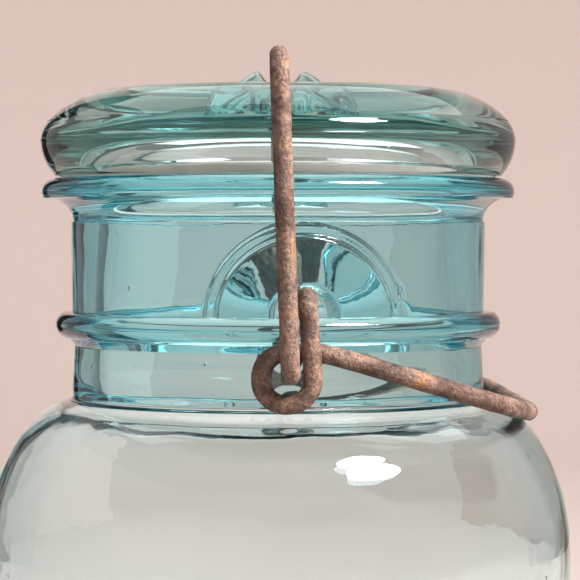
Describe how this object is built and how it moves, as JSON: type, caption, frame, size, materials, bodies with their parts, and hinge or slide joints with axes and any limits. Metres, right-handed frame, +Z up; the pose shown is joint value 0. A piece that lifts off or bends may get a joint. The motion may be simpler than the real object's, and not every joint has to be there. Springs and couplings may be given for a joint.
{
  "type": "mason jar",
  "caption": "Quart canning jar of pale blue-green glass with a glass lid, rubber ring and two-wire toggle closure that pivots in bosses moulded on the neck.",
  "frame": {"origin": "centre of the jar's base, at the height of the surface it stands on", "axes": "+Z up along the jar's axis; the wire lever's handle points to +X; its pivot line runs along Y"},
  "size_m": [0.1016, 0.1016, 0.189],
  "materials": {
    "jar_glass": "pale aqua pressed glass, glossy, with small bubbles",
    "lid_glass": "grey-green pressed glass, glossy, with a mould seam",
    "ring_rubber": "aged pale rubber",
    "bail_wire": "dull steel wire with brown rust",
    "lever_wire": "dull steel wire with brown rust"
  },
  "bodies": {
    "vessel": {"jar": "jar_glass", "rubber_ring": "ring_rubber"},
    "lid": {"lid": "lid_glass"},
    "lever": {"lever": "lever_wire"},
    "bail": {"top_bail": "bail_wire"}
  },
  "joints": [
    {"name": "lever_swing", "type": "hinge", "parent": "vessel", "child": "lever", "pos_m": [0.0048, 0, 0.14913], "axis": [0, -1, 0], "range_deg": [0, 58]},
    {"name": "bail_swing", "type": "hinge", "parent": "lever", "child": "bail", "pos_m": [0.0022, 0, 0.13693], "axis": [0, -1, 0], "range_deg": [-43.91, 0]},
    {"name": "lid_lift", "type": "slide", "parent": "vessel", "child": "lid", "axis": [0, 0, 1], "range_m": [0, 0.00045]}
  ],
  "couplings": [
    {"joint": "bail_swing", "follows": "lever_swing", "ratio": -0.757}
  ]
}
